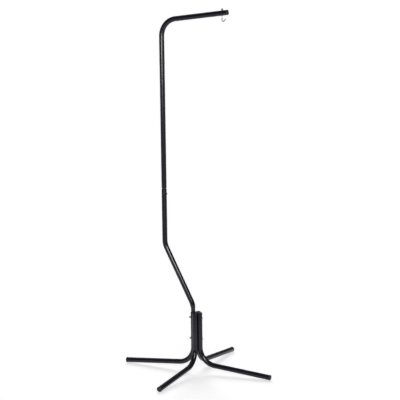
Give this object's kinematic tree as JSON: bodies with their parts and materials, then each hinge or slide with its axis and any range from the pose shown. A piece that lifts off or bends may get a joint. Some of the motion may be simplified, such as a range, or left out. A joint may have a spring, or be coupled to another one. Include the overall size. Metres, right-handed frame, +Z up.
{
  "type": "garden hanging stand",
  "caption": "Free-standing black tubular steel hanging stand: splayed bent legs, a cranked two-piece pole, a rising arm and a swivelling wire hook for a hung load.",
  "frame": {"origin": "on the floor under the middle of the bundle of legs, which is the middle of the feet in plan", "axes": "+Z up, +X towards the free end of the arm, the pole, the arm and two of the legs lie in the XZ plane"},
  "size_m": [0.7066, 0.7066, 1.5776],
  "materials": {
    "black_enamel": "semi-gloss black powder coat on steel tube",
    "black_plastic": "satin moulded polyethylene",
    "zinc_plate": "bright zinc plating on steel"
  },
  "bodies": {
    "stand": {"leg_left": "black_enamel", "leg_front": "black_enamel", "leg_right": "black_enamel", "leg_back": "black_enamel", "foot_left": "black_plastic", "foot_front": "black_plastic", "foot_right": "black_plastic", "foot_back": "black_plastic", "leg_cap_front": "black_plastic", "leg_cap_right": "black_plastic", "leg_cap_back": "black_plastic", "weld_left_front_low": "black_enamel", "weld_left_front_high": "black_enamel", "weld_right_back_low": "black_enamel", "weld_right_back_high": "black_enamel", "lower_pole": "black_enamel", "upper_pole": "black_enamel", "arm_cap": "black_plastic", "joint_screw": "black_enamel", "bolt_upper": "zinc_plate", "bolt_lower": "zinc_plate", "washer_upper": "zinc_plate", "washer_lower": "zinc_plate", "nut_upper": "zinc_plate", "nut_lower": "zinc_plate"},
    "swivel_hook": {"hook": "zinc_plate", "hook_washer": "zinc_plate", "hook_nut": "zinc_plate"}
  },
  "joints": [
    {"name": "hook_swivel", "type": "hinge", "parent": "stand", "child": "swivel_hook", "pos_m": [0.13859, 0, 1.55815], "axis": [0, 0, 1], "continuous": true}
  ]
}
